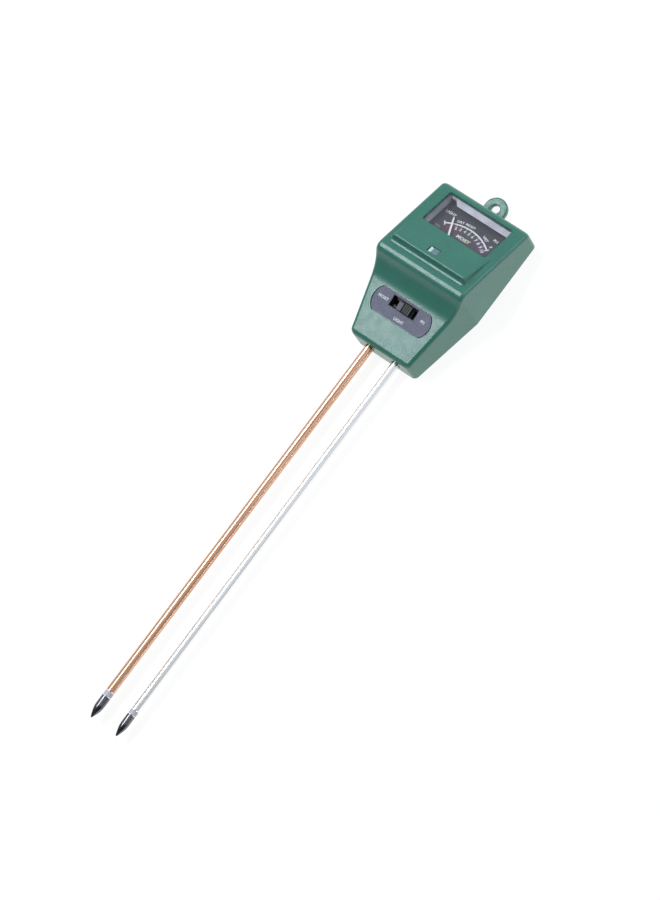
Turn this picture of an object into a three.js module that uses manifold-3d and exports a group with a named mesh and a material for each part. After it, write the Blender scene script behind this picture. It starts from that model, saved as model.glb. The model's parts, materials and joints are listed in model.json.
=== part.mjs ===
// Three-way soil meter: a wedge-shaped plastic head with an analogue dial, a light sensor and a
// slide switch, and two long metal probes.  Millimetres.
// +X is to the right of the dial, +Y runs up the head to the hanging ring, +Z points out of the dial.
// Every piece is drawn with Y = 0 at the head's probe end and Z = 0 on its flat back.  The group then
// moves down by half the head, so that the finished origin is the middle of the flat back.
import * as THREE from 'three';
import { mergeVertices } from 'three/addons/utils/BufferGeometryUtils.js';
import Module from 'manifold-3d';

const wasm = await Module();
wasm.setup();

// ---- Driving dimensions ----
const gap = 0.3; // between pieces that sit against each other
const wall = 2;
const past = 1; // how far a cutting shape runs past what it cuts
const screwHole = 1.1; // radius of the clearance holes for the small screws
const bothSides = [-1, 1]; // left, right

const head = {
  length: 78.6,
  halfWidth: 24,
  endHalfWidth: 16.4,
  bendY: 35.5, // the straight sides start to taper here
  crownY: 35.7, // the ridge between the dial face and the drop to the switch panel
  crownZ: 30.6,
  topZ: 13.3, // height of the dial face at the ring end
  panelZ: 14.3, // height of the switch panel at the probe end
  panelAngle: THREE.MathUtils.degToRad(13.7),
  dropAngle: THREE.MathUtils.degToRad(60),
  sweepRadius: 15.9, // concave sweep from the panel up to the drop
  crownRadius: 3.8,
  edgeRadius: 1.7, // along the sides of the front
  endRadius: 2, // round both ends
};
head.faceAngle = Math.atan2(head.crownZ - head.topZ, head.length - head.crownY);

const pad = { halfWidth: 20.1, low: 6.7, high: 24.4, height: 3.4, foot: 1.9, round: 1 };
const opening = { halfWidth: 17.6, low: 23.3, high: 43.1, corner: 1.4 };
const sensor = { x: -0.7, y: 11.2, width: 5, height: 3.9 };
const dial = { depth: 6.2, thickness: 0.6, halfWidth: 17.7, low: 19.5, high: 43.9 };
const pivotY = 15.8; // the needle's axis, up the dial face from the crown
const needleRest = THREE.MathUtils.degToRad(26); // left of the middle of the scale
const label = { halfStraight: 12.7, halfHeight: 5.7, bulge: 2.7, y: 19.1, pocket: 0.6, margin: 0.5 };
const slot = { width: 13.8, height: 5.2, y: 21.25 };
const sliderX = 0.6; // middle of the switch slider in its middle position
const probe = { x: 7.3, z: 6.5, length: 200, inside: 11.2, wall: 0.25 };
const tip = { length: 11, point: 6.5, ring: 2.2 };
const ring = { y: 81.6, radius: 5.5, hole: 2.1, low: 2.2, thickness: 2.8, seam: 0.05 };
const cover = { thickness: 2.2, clearance: 0.25, corner: 1 };
const grips = { count: 4, pitch: 2.5, halfLength: 6, width: 1, depth: 0.5, y: 24 };
const coverScrews = [[-15.4, 17], [15.4, 17], [-19.6, 71], [19.6, 71]];
const board = { halfWidth: 12.4, low: 14.5, high: 30, depth: 8.4, thickness: 1.2, screwX: 10.7 };
const holder = { halfWidth: 13, low: 2.4, high: 9.8, bottom: 4.1, top: 10.5, screwX: 11.4, screwY: 6 };

// ---- Materials ----
function finish(color, roughness, metalness = 0, extra = {}) {
  return new THREE.MeshStandardMaterial({ color, roughness, metalness, ...extra });
}
const green = finish(0x3f7f6d, 0.42);
const clear = finish(0xdfe3ea, 0.08, 0, { transparent: true, opacity: 0.35 });
const labelGrey = finish(0x77798c, 0.5);
const black = finish(0x17171a, 0.55);
const dialBlack = finish(0x35343c, 0.6);
const white = finish(0xf2f2f0, 0.5);
const knobBrown = finish(0x4a443f, 0.6);
const boardTan = finish(0xa8834a, 0.6);
const steel = finish(0xb8bcc0, 0.3, 1);
const darkSteel = finish(0x3c3e42, 0.25, 1);
const copper = finish(0xc87f5c, 0.28, 1);
const aluminium = finish(0xdcdee0, 0.3, 1);
const brass = finish(0xc9a250, 0.35, 1);
const ringGrey = finish(0xc4c6c8, 0.5);
const wireColours = { red: 0xb03028, black: 0x202022, yellow: 0xd8b83a, blue: 0x2f5fae };

// ---- Solids ----
function toSolid(geometry) {
  const bare = geometry.clone();
  bare.deleteAttribute('normal');
  bare.deleteAttribute('uv');
  const merged = mergeVertices(bare);
  const vertProperties = new Float32Array(merged.attributes.position.array);
  const triVerts = new Uint32Array(merged.index.array);
  return new wasm.Manifold(new wasm.Mesh({ numProp: 3, vertProperties, triVerts }));
}

function toGeometry(solid) {
  const mesh = solid.getMesh();
  const geometry = new THREE.BufferGeometry();
  geometry.setAttribute('position', new THREE.BufferAttribute(mesh.vertProperties, 3));
  geometry.setIndex(new THREE.BufferAttribute(mesh.triVerts, 1));
  geometry.computeVertexNormals();
  return geometry;
}

function join(...parts) {
  return toGeometry(parts.map(toSolid).reduce((whole, part) => whole.add(part)));
}

function cut(base, ...tools) {
  return toGeometry(tools.map(toSolid).reduce((rest, tool) => rest.subtract(tool), toSolid(base)));
}

function common(first, second) {
  return toGeometry(toSolid(first).intersect(toSolid(second)));
}

// ---- Shapes ----
// A box between two corners.
function box(low, high) {
  const size = high.map((value, axis) => value - low[axis]);
  const middle = high.map((value, axis) => (value + low[axis]) / 2);
  return new THREE.BoxGeometry(...size).translate(...middle);
}

// A round bar along Z between two heights.
function rod(radius, low, high, x = 0, y = 0, sides = 14) {
  const bar = new THREE.CylinderGeometry(radius, radius, high - low, sides);
  return bar.rotateX(Math.PI / 2).translate(x, y, (low + high) / 2);
}

// A turned piece about Z: the outline is a list of [radius, height].
function turned(outline, sides = 20) {
  const points = outline.map(([radius, height]) => new THREE.Vector2(radius, height));
  return new THREE.LatheGeometry(points, sides).rotateX(Math.PI / 2);
}

// A flat piece: a shape in X and Y, from one height to another.
function plate(shape, low, high, curveSegments = 8) {
  const flat = new THREE.ExtrudeGeometry(shape, { depth: high - low, bevelEnabled: false, curveSegments });
  return flat.translate(0, 0, low);
}

// A shape drawn in Y and Z, extruded along X.
function across(shape, low, high) {
  const bar = new THREE.ExtrudeGeometry(shape, { depth: high - low, bevelEnabled: false });
  return bar.rotateY(Math.PI / 2).rotateX(Math.PI / 2).translate(low, 0, 0);
}

// A flat piece standing on Z = 0, with its top and bottom edges bevelled inwards.
function bevelled(shape, height, bevel, bevelSegments, curveSegments) {
  const solid = new THREE.ExtrudeGeometry(shape, {
    depth: height - 2 * bevel,
    bevelThickness: bevel,
    bevelSize: bevel,
    bevelOffset: -bevel,
    bevelSegments,
    curveSegments,
  });
  return solid.translate(0, 0, bevel);
}

function polygon(points) {
  return new THREE.Shape(points.map(([x, y]) => new THREE.Vector2(x, y)));
}

function roundedRectangle(left, bottom, right, top, radius) {
  const shape = new THREE.Shape();
  shape.absarc(right - radius, bottom + radius, radius, -Math.PI / 2, 0, false);
  shape.absarc(right - radius, top - radius, radius, 0, Math.PI / 2, false);
  shape.absarc(left + radius, top - radius, radius, Math.PI / 2, Math.PI, false);
  shape.absarc(left + radius, bottom + radius, radius, Math.PI, 1.5 * Math.PI, false);
  return shape;
}

function circle(x, y, radius) {
  return new THREE.Path().absarc(x, y, radius, 0, 2 * Math.PI, false);
}

// A closed solid through a row of loops that all have the same number of points.
function loft(loops) {
  const count = loops[0].length;
  const points = loops.flat();
  const faces = [];
  for (let row = 0; row < loops.length - 1; row += 1) {
    for (let column = 0; column < count; column += 1) {
      const here = row * count + column;
      const next = row * count + ((column + 1) % count);
      faces.push(here, here + count, next, next, here + count, next + count);
    }
  }
  for (const [row, facing] of [[0, 1], [loops.length - 1, -1]]) {
    const middle = new THREE.Vector3();
    loops[row].forEach((point) => middle.addScaledVector(point, 1 / count));
    points.push(middle);
    for (let column = 0; column < count; column += 1) {
      const here = row * count + column;
      const next = row * count + ((column + 1) % count);
      faces.push(points.length - 1, ...(facing > 0 ? [here, next] : [next, here]));
    }
  }
  const geometry = new THREE.BufferGeometry().setFromPoints(points);
  geometry.setIndex(faces);
  return geometry;
}

// ---- Frames on the sloping front ----
// X stays across, Y runs up the slope and Z points out of it.
function slopeMatrix(y, z, angle) {
  return new THREE.Matrix4().makeRotationX(angle).setPosition(0, y, z);
}
const faceMatrix = slopeMatrix(head.crownY, head.crownZ, -head.faceAngle);
const panelMatrix = slopeMatrix(0, head.panelZ, head.panelAngle);
const onFace = (geometry) => geometry.applyMatrix4(faceMatrix);
const onPanel = (geometry) => geometry.applyMatrix4(panelMatrix);
const facePoint = (x, y, z) => new THREE.Vector3(x, y, z).applyMatrix4(faceMatrix);
const panelPoint = (x, y, z) => new THREE.Vector3(x, y, z).applyMatrix4(panelMatrix);

// ---- The head's outer form ----
function halfWidthAt(y) {
  const taper = Math.min(y / head.bendY, 1);
  return THREE.MathUtils.lerp(head.endHalfWidth, head.halfWidth, taper);
}

function panelHeight(y, inset) {
  return head.panelZ + y * Math.tan(head.panelAngle) - inset / Math.cos(head.panelAngle);
}

function faceHeight(y, inset) {
  return head.crownZ - (y - head.crownY) * Math.tan(head.faceAngle) - inset / Math.cos(head.faceAngle);
}

// Where the panel's line meets the line of the drop below the crown.
function panelCorner() {
  const rise = head.crownZ - head.panelZ - head.crownY * Math.tan(head.dropAngle);
  const y = rise / (Math.tan(head.panelAngle) - Math.tan(head.dropAngle));
  return { y, z: panelHeight(y, 0) };
}

// The front's side outline, [y, z] from the sweep's start to the crown's end, moved in by inset.
function frontOutline(inset) {
  const { panelAngle, dropAngle, faceAngle, sweepRadius, crownRadius } = head;
  const corner = panelCorner();
  const run = sweepRadius * Math.tan((dropAngle - panelAngle) / 2);
  const sweepY = corner.y - run * Math.cos(panelAngle) - sweepRadius * Math.sin(panelAngle);
  const sweepZ = corner.z - run * Math.sin(panelAngle) + sweepRadius * Math.cos(panelAngle);
  const back = crownRadius * Math.tan((dropAngle + faceAngle) / 2);
  const crownY = head.crownY - back * Math.cos(dropAngle) + crownRadius * Math.sin(dropAngle);
  const crownZ = head.crownZ - back * Math.sin(dropAngle) - crownRadius * Math.cos(dropAngle);
  const points = [];
  const sweepSteps = 12;
  for (let step = 0; step <= sweepSteps; step += 1) {
    const angle = THREE.MathUtils.lerp(panelAngle, dropAngle, step / sweepSteps);
    const radius = sweepRadius + inset;
    points.push([sweepY + radius * Math.sin(angle), sweepZ - radius * Math.cos(angle)]);
  }
  const crownSteps = 9;
  for (let step = 0; step <= crownSteps; step += 1) {
    const angle = THREE.MathUtils.lerp(dropAngle, -faceAngle, step / crownSteps);
    const radius = crownRadius - inset;
    points.push([crownY - radius * Math.sin(angle), crownZ + radius * Math.cos(angle)]);
  }
  return points;
}

// One cross-section of the head: a rectangle with its two front corners rounded.
function headLoop(y, halfWidth, height, radius, base) {
  const steps = 6;
  const loop = [new THREE.Vector3(-halfWidth, y, base), new THREE.Vector3(halfWidth, y, base)];
  for (const side of [1, -1]) {
    for (let step = 0; step <= steps; step += 1) {
      const turn = (side > 0 ? step : steps - step) * (Math.PI / 2 / steps);
      const x = side * (halfWidth - radius + radius * Math.cos(turn));
      loop.push(new THREE.Vector3(x, y, height - radius + radius * Math.sin(turn)));
    }
  }
  return loop;
}

function headOuter() {
  const loops = [];
  const steps = 6;
  const addEnd = (heightAt, startY, direction, order) => {
    for (const step of order) {
      const turn = (step / steps) * (Math.PI / 2);
      const shrink = head.endRadius * (1 - Math.sin(turn));
      const y = startY + direction * head.endRadius * (1 - Math.cos(turn));
      loops.push(headLoop(y, halfWidthAt(y) - shrink, heightAt(y, 0) - shrink, head.edgeRadius, 0));
    }
  };
  const outward = [...Array(steps + 1).keys()];
  addEnd(panelHeight, 0, 1, outward);
  for (const [y, z] of frontOutline(0)) {
    loops.push(headLoop(y, halfWidthAt(y), z, head.edgeRadius, 0));
  }
  addEnd(faceHeight, head.length, -1, outward.reverse());
  return loft(loops);
}

function headCavity() {
  const innerRadius = 0.5;
  const below = -1;
  const loopAt = (y, z) => headLoop(y, halfWidthAt(y) - wall, z, innerRadius, below);
  const endY = head.length - wall;
  return loft([
    loopAt(wall, panelHeight(wall, wall)),
    ...frontOutline(wall).map(([y, z]) => loopAt(y, z)),
    loopAt(endY, faceHeight(endY, wall)),
  ]);
}

// The raised pad's height at a place up the face, away from its rounded edges.  Its top is steeper
// than the face, so it rises out of the face below the window and is highest towards the crown.
function padHeight(y) {
  return (pad.height * (pad.high - y)) / (pad.high - pad.low);
}

// The share of that height that the pad's edge has reached, over a hollow and then a round.
function padEdge(distance) {
  const width = pad.foot + pad.round;
  const inward = Math.min(distance, width);
  if (inward <= pad.foot) {
    return (pad.foot - Math.sqrt(pad.foot ** 2 - inward ** 2)) / width;
  }
  return (pad.foot + Math.sqrt(pad.round ** 2 - (width - inward) ** 2)) / width;
}

// Distances in from the pad's foot at which its edge is sampled.
function padEdgeSteps() {
  const steps = 6;
  const hollow = [...Array(steps).keys()].map((step) => pad.foot * Math.sin((step / steps) * (Math.PI / 2)));
  const round = [...Array(steps + 1).keys()].map((step) => {
    return pad.foot + pad.round * (1 - Math.cos((step / steps) * (Math.PI / 2)));
  });
  return [...hollow, ...round];
}

// The raised pad below the window: a wedge with rounded edges along its sides and its low end.
function raisedPad() {
  const outer = pad.halfWidth + pad.foot;
  const low = pad.low - pad.foot;
  const root = -1;
  const bite = 0.02;
  const edge = padEdgeSteps();
  const stations = edge.map((distance) => [low + distance, padEdge(distance)]);
  stations.push([pad.high, 1]);
  const loops = stations.map(([y, share]) => {
    const loop = [new THREE.Vector3(-outer, y, root), new THREE.Vector3(outer, y, root)];
    const height = padHeight(y) * share;
    edge.forEach((distance) => {
      loop.push(new THREE.Vector3(outer - distance, y, height * padEdge(distance)));
    });
    [...edge].reverse().forEach((distance) => {
      loop.push(new THREE.Vector3(distance - outer, y, height * padEdge(distance)));
    });
    return loop;
  });
  return onFace(loft(loops).translate(0, 0, -bite));
}

// The real ring is moulded in one with the head.  Here it is a piece of its own, standing a hair
// off the end wall, so that its hole stays open to a hook or a nail.
function hangingRing() {
  const shape = new THREE.Shape();
  shape.moveTo(ring.radius, head.length - wall);
  shape.lineTo(ring.radius, ring.y);
  shape.absarc(0, ring.y, ring.radius, 0, Math.PI, false);
  shape.lineTo(-ring.radius, head.length - wall);
  shape.holes.push(circle(0, ring.y, ring.hole));
  const whole = bevelled(shape, ring.thickness, 0.5, 2, 16).translate(0, 0, ring.low);
  const end = head.length + ring.seam;
  const headSide = box(
    [-ring.radius - past, head.length - 2 * wall, ring.low - past],
    [ring.radius + past, end, ring.low + ring.thickness + past],
  );
  return cut(whole, headSide);
}

function labelShape(margin) {
  const halfHeight = label.halfHeight + margin;
  const bulge = label.bulge + margin;
  const radius = (halfHeight ** 2 + bulge ** 2) / (2 * bulge);
  const centreX = label.halfStraight + bulge - radius;
  const half = Math.asin(halfHeight / radius);
  const shape = new THREE.Shape();
  shape.absarc(centreX, label.y, radius, -half, half, false);
  shape.absarc(-centreX, label.y, radius, Math.PI - half, Math.PI + half, false);
  return shape;
}

function slotBox(margin, low, high) {
  const halfWidth = slot.width / 2 + margin;
  const halfHeight = slot.height / 2 + margin;
  return box([-halfWidth, slot.y - halfHeight, low], [halfWidth, slot.y + halfHeight, high]);
}

// Posts inside the head that take screws, each with a pilot hole of its own radius and depth.
const coverPost = { radius: 1.6, pilot: 0.95, depth: 8.5 };
const boardPost = { radius: 1.5, pilot: 0.95, depth: 4.1 };
const holderPost = { radius: 1.7, pilot: 1.1, depth: 2.7 };
const movementPost = { radius: 1.9, pilot: 1.1, depth: 3.8, x: 14.6, y: 8.5, bottom: -6.8 };

function screwPost({ radius, pilot, depth }, x, y, low, high) {
  return { post: rod(radius, low, high, x, y), hole: rod(pilot, low - past, low + depth, x, y) };
}

function shellPosts() {
  const root = 1; // how far a post runs into the wall
  const place = ({ post, hole }, onto) => ({ post: onto(post), hole: onto(hole) });
  return [
    ...coverScrews.map(([x, y]) => {
      const roof = y > head.crownY ? faceHeight(y, wall) : panelHeight(y, wall);
      return screwPost(coverPost, x, y, cover.thickness + gap, roof + root);
    }),
    ...bothSides.flatMap((side) => {
      const { x, y, bottom } = movementPost;
      const roof = panelHeight(holder.screwY, wall);
      return [
        place(screwPost(boardPost, side * board.screwX, slot.y, gap - board.depth, root - wall), onPanel),
        screwPost(holderPost, side * holder.screwX, holder.screwY, holder.top + gap, roof + root),
        place(screwPost(movementPost, side * x, y, bottom, root - wall), onFace),
      ];
    }),
  ];
}

// What is cut out of the front: the window, the sensor's hole, the switch's slot, the label's
// recess and the two holes that the probes come out of.
function shellOpenings() {
  const through = 2 * wall;
  const probeHole = 2.4;
  const { halfWidth, low, high, corner } = opening;
  const halfSensor = { x: sensor.width / 2, y: sensor.height / 2 };
  return [
    onFace(plate(roundedRectangle(-halfWidth, low, halfWidth, high, corner), -through, through)),
    onFace(box(
      [sensor.x - halfSensor.x, sensor.y - halfSensor.y, -through],
      [sensor.x + halfSensor.x, sensor.y + halfSensor.y, through + 2],
    )),
    onPanel(slotBox(0, -through, wall)),
    onPanel(plate(labelShape(label.margin), -label.pocket, wall)),
    ...bothSides.map((side) => {
      const hole = new THREE.CylinderGeometry(probeHole, probeHole, 2 * through, 24);
      return hole.translate(side * probe.x, 0, probe.z);
    }),
  ];
}

function frontShell() {
  const posts = shellPosts();
  const hollow = toSolid(headOuter()).subtract(toSolid(headCavity()));
  const filled = [raisedPad(), ...posts.map(({ post }) => post)]
    .reduce((whole, part) => whole.add(toSolid(part)), hollow);
  const cuts = [...posts.map(({ hole }) => hole), ...shellOpenings()];
  return toGeometry(cuts.reduce((rest, tool) => rest.subtract(toSolid(tool)), filled));
}

// ---- Back cover and its screws ----
function backCover() {
  const inset = wall + cover.clearance;
  const low = inset;
  const high = head.length - inset;
  const halfWidths = [halfWidthAt(low) - inset, head.halfWidth - inset];
  const { corner } = cover;
  const shape = polygon([
    [halfWidths[0] - corner, low], [halfWidths[0], low + corner],
    [halfWidths[1], head.bendY], [halfWidths[1], high - corner], [halfWidths[1] - corner, high],
    [corner - halfWidths[1], high], [-halfWidths[1], high - corner], [-halfWidths[1], head.bendY],
    [-halfWidths[0], low + corner], [corner - halfWidths[0], low],
  ]);
  const screwHoles = coverScrews.flatMap(([x, y]) => [
    rod(1, -past, cover.thickness + past, x, y), rod(1.75, -past, 1.3, x, y),
  ]);
  const grooves = [...Array(grips.count).keys()].map((step) => {
    const y = grips.y + step * grips.pitch;
    return box([-grips.halfLength, y, -past], [grips.halfLength, y + grips.width, grips.depth]);
  });
  return cut(plate(shape, 0, cover.thickness), ...screwHoles, ...grooves);
}

// A cross-headed screw pointing up Z, with its head's outer face at the height given.
function screw(headRadius, headHeight, shankRadius, length, x, y, z) {
  const point = 0.6 * shankRadius;
  const body = turned([
    [0, z], [headRadius, z], [headRadius, z + headHeight], [shankRadius, z + headHeight],
    [shankRadius, z + length - point], [0.3 * shankRadius, z + length], [0, z + length],
  ], 10);
  const halfSlot = 0.6 * headRadius;
  const halfWidth = 0.14 * headRadius;
  const depth = 0.5 * headHeight;
  const slots = [
    box([-halfSlot, -halfWidth, z - past], [halfSlot, halfWidth, z + depth]),
    box([-halfWidth, -halfSlot, z - past], [halfWidth, halfSlot, z + depth]),
  ];
  return cut(body, ...slots).translate(x, y, 0);
}

// ---- Dial window and sensor window ----
// A pane with walls round its edge that reach down towards the dial, a flange behind the shell,
// and a sloping wedge along the top whose left end is cut at an angle.
function windowLens() {
  const side = opening.halfWidth - gap;
  const low = opening.low + gap;
  const high = opening.high - gap;
  const pane = { top: -0.2, bottom: -1.4, corner: 1.1 };
  const skirt = { thickness: 0.6, bottom: -5.2, lowEndBottom: -4.3, top: pane.top - 0.1 };
  const flange = { margin: 0.5, top: -wall - gap, thickness: 1, corner: 1 };
  const wedge = { left: -15.1, reach: 2.4, bottom: -3.2, mitre: 3.3, land: 0.3 };
  const inner = { x: side - skirt.thickness, low: low + skirt.thickness, high: high - wedge.land };

  const slope = across(polygon([
    [high, pane.top], [high - 0.2, pane.bottom], [high - wedge.reach, wedge.bottom], [high, wedge.bottom],
  ]), wedge.left, side);
  const mitre = polygon([
    [wedge.left - past, high + past], [wedge.left - past, low],
    [wedge.left + wedge.mitre, high - wedge.reach], [wedge.left, high + past],
  ]);
  const rim = side + flange.margin;
  const frame = roundedRectangle(-rim, low - flange.margin, rim, high + flange.margin, flange.corner);
  frame.holes.push(polygon([
    [-inner.x, inner.low], [inner.x, inner.low], [inner.x, inner.high], [-inner.x, inner.high],
  ]));
  const outline = roundedRectangle(-side, low, side, high, pane.corner);
  const walls = join(
    box([-side, low, skirt.bottom], [-inner.x, inner.high, skirt.top]),
    box([inner.x, low, skirt.bottom], [side, inner.high, skirt.top]),
    box([-side, low, skirt.lowEndBottom], [side, inner.low, skirt.top]),
    cut(slope, plate(mitre, skirt.bottom - past, pane.bottom)),
  );
  return onFace(join(
    plate(outline, pane.bottom, pane.top),
    common(walls, plate(outline, skirt.bottom, pane.top)),
    plate(frame, flange.top - flange.thickness, flange.top),
  ));
}

// A thick pane whose left end has a notch, with a facet that slopes down to the right.
function sensorLens() {
  const notch = { width: 1.4, depth: 0.7 };
  const setBack = 0.2;
  const thickness = 2.2;
  const halfWidth = sensor.width / 2 - gap;
  const halfHeight = sensor.height / 2 - gap;
  const top = padHeight(sensor.y + halfHeight) - setBack;
  const bottom = top - thickness;
  const outline = polygon([
    [-halfWidth, bottom], [halfWidth, bottom], [halfWidth, top], [notch.width - halfWidth, top],
    [notch.width - halfWidth, top - notch.depth], [-halfWidth, top],
  ]);
  const solid = plate(outline, -halfHeight, halfHeight).rotateX(Math.PI / 2);
  return onFace(solid.translate(sensor.x, sensor.y, 0));
}

// The light cell: a disc with three grooves across its face.
const cell = { radius: 1.85, bottom: -4.1, top: -2.4 };

function photocell() {
  const groove = { halfLength: 1.1, halfWidth: 0.2, depth: 0.2 };
  const body = rod(cell.radius, cell.bottom, cell.top, sensor.x, sensor.y, 24);
  const grooves = [-1, 0, 1].map((step) => {
    const y = sensor.y + step;
    return box(
      [sensor.x - groove.halfLength, y - groove.halfWidth, cell.top - groove.depth],
      [sensor.x + groove.halfLength, y + groove.halfWidth, cell.top + past],
    );
  });
  return onFace(cut(body, ...grooves));
}

// ---- Dial ----
const dialScrews = [[-14, 21.4], [14, 21.4]];

function dialPlate() {
  const shape = roundedRectangle(-dial.halfWidth, dial.low, dial.halfWidth, dial.high, 1);
  dialScrews.forEach(([x, y]) => shape.holes.push(circle(x, y, screwHole)));
  return onFace(plate(shape, -dial.depth - dial.thickness, -dial.depth));
}

// A screw whose head faces out of the dial.
function dialScrew([x, y]) {
  const headHeight = 0.9;
  const upright = screw(1.7, headHeight, 0.8, 5.4, 0, 0, 0);
  return onFace(upright.rotateX(Math.PI).translate(x, y, gap + headHeight - dial.depth));
}

const needle = { length: 22.7, bottom: -5.4, top: -5, limits: [-37, 39], stopRadius: 8, pin: 0.5 };

// The needle comes to rest against this pin at the limit given, in degrees from the middle.
function stopPin(limit) {
  const needleHalfWidth = 0.6;
  const beyond = Math.atan((needle.pin + needleHalfWidth) / needle.stopRadius) * Math.sign(limit);
  const angle = THREE.MathUtils.degToRad(limit) + beyond;
  const x = needle.stopRadius * Math.sin(angle);
  const y = pivotY + needle.stopRadius * Math.cos(angle);
  return onFace(rod(needle.pin, gap - dial.depth, 1.8 - dial.depth, x, y, 12));
}

// ---- Meter movement, in the face's frame about the needle's axis ----
const movement = {
  top: -7.1, flange: 1.5, bore: 8.7, outer: 10.2, bottom: -16.8,
  yokeInner: 7, yokeOuter: 8.4, yokeTop: -8.8, yokeBottom: -16.4,
  magnetRadius: 4, magnetTop: -9.2, magnetBottom: -16,
  rib: 1.4, coilTop: -7.4, coilBottom: -17.8,
};
const frontBridge = { low: -4.1, high: -2.9, jewelLow: -4.3, jewelHigh: -2.5, pivotPoint: -4.5 };
const rearBridge = { low: -21.8, high: -20.6, jewelLow: -22.2, jewelHigh: -20.5, pivotPoint: -20.2 };
const atPivot = (geometry) => onFace(geometry.translate(0, pivotY, 0));

function movementFrame() {
  const flange = roundedRectangle(-17, 5 - pivotY, 17, 24 - pivotY, 2);
  const holes = [
    ...dialScrews.map(([x, y]) => [x, y - pivotY]),
    ...bothSides.map((side) => [side * movementPost.x, movementPost.y - pivotY]),
  ];
  holes.forEach(([x, y]) => flange.holes.push(circle(x, y, screwHole)));
  const deep = movement.top - movement.flange;
  const solid = join(
    plate(flange, deep, movement.top),
    rod(movement.outer, movement.bottom, deep + 0.2, 0, 0, 28),
  );
  const bored = cut(solid, rod(movement.bore, movement.bottom - past, 0, 0, 0, 28));
  const ribs = bothSides.map((side) => {
    const near = side * (movement.magnetRadius + gap);
    const far = side * (movement.bore + 0.5);
    return box(
      [-movement.rib, Math.min(near, far), movement.yokeBottom],
      [movement.rib, Math.max(near, far), movement.yokeTop],
    );
  });
  return atPivot(join(bored, ...ribs));
}

function movementScrew(side) {
  const headHeight = 1;
  const headZ = movement.top - movement.flange - gap - headHeight;
  return onFace(screw(1.8, headHeight, 0.8, 6, side * movementPost.x, movementPost.y, headZ));
}

function magnet() {
  return atPivot(rod(movement.magnetRadius, movement.magnetBottom, movement.magnetTop, 0, 0, 32));
}

function yokeHalf(side) {
  const half = THREE.MathUtils.degToRad(68);
  const middle = side > 0 ? 0 : Math.PI;
  const shape = new THREE.Shape();
  shape.absarc(0, 0, movement.yokeOuter, middle - half, middle + half, false);
  shape.absarc(0, 0, movement.yokeInner, middle + half, middle - half, true);
  return atPivot(plate(shape, movement.yokeBottom, movement.yokeTop, 14));
}

// A bracket over one end of the movement, with a hole for its jewel.
function bridge(bar, legEnd) {
  const reach = 10.4;
  const leg = 1.2;
  const halfWidth = 2;
  const jewelHole = 1.4;
  const low = Math.min(bar.low, legEnd);
  const high = Math.max(bar.high, legEnd);
  const block = box([-reach, -halfWidth, low], [reach, halfWidth, high]);
  const [from, to] = bar.low > legEnd ? [low - past, bar.low] : [bar.high, high + past];
  const space = box([leg - reach, -halfWidth - past, from], [reach - leg, halfWidth + past, to]);
  return atPivot(cut(block, space, rod(jewelHole, low - past, high + past)));
}

function jewel({ jewelLow, jewelHigh }) {
  const slotted = box([-2, -0.15, jewelHigh - 0.4], [2, 0.15, jewelHigh + past]);
  return atPivot(cut(rod(1.1, jewelLow, jewelHigh, 0, 0, 16), slotted));
}

// A pointed pivot on one end of the coil.
function pivot(base, point) {
  const taper = base + 0.8 * (point - base);
  const outline = [[0, base], [0.5, base], [0.5, taper], [0.12, point], [0, point]];
  const upward = point > base;
  return atPivot(turned(upward ? outline : [...outline].reverse(), 12));
}

function movingCoil() {
  const outer = { x: 5.7, z: (movement.coilTop - movement.coilBottom) / 2 };
  const inner = { x: 4.6, z: outer.z - 1 };
  const shape = roundedRectangle(-outer.x, -outer.z, outer.x, outer.z, 1);
  shape.holes.push(roundedRectangle(-inner.x, -inner.z, inner.x, inner.z, 0.4));
  const halfThickness = 1.1;
  const loop = plate(shape, -halfThickness, halfThickness, 4).rotateX(Math.PI / 2);
  loop.translate(0, 0, (movement.coilTop + movement.coilBottom) / 2).rotateZ(needleRest);
  return atPivot(loop);
}

// A flat spiral strip.
function hairspring(low) {
  const height = 0.5;
  const turns = 3;
  const steps = 30;
  const [inner, outer, strip] = [1.2, 3.6, 0.2];
  const edge = (offset) => [...Array(steps + 1).keys()].map((step) => {
    const angle = (step / steps) * turns * 2 * Math.PI;
    const radius = THREE.MathUtils.lerp(inner, outer, step / steps) + offset;
    return [radius * Math.cos(angle), radius * Math.sin(angle)];
  });
  const outline = polygon([...edge(strip / 2), ...edge(-strip / 2).reverse()]);
  return atPivot(plate(outline, low, low + height));
}

function needlePiece() {
  const hub = 1.7;
  const tail = -6.2;
  const shape = polygon([
    [-0.7, tail], [0.7, tail], [0.55, 0], [0.35, needle.length - 0.6], [0, needle.length],
    [-0.35, needle.length - 0.6], [-0.55, 0],
  ]);
  const blade = join(plate(shape, needle.bottom, needle.top), rod(hub, needle.bottom - 0.3, needle.top));
  return atPivot(cut(blade, rod(0.8, -8, -3, 0, 0, 12)).rotateZ(needleRest));
}

function balanceWeight() {
  return atPivot(rod(1, -6.7, needle.bottom - gap, 0, -5.1, 14).rotateZ(needleRest));
}

// ---- Switch, in the panel's frame ----
function switchLabel() {
  const film = { bottom: -0.35, top: -0.05, margin: 0.1 };
  const sheet = plate(labelShape(0), film.bottom, film.top);
  return onPanel(cut(sheet, slotBox(film.margin, -past, past)));
}

const switchTop = -wall - 0.6;

function switchBody() {
  const housing = box([-8.5, slot.y - 3.5, -board.depth + gap], [8.5, slot.y + 3.5, switchTop]);
  const pocket = box([-6.5, slot.y - 1.2, switchTop - 3], [6.5, slot.y + 1.2, 0]);
  return onPanel(cut(housing, pocket));
}

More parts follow.
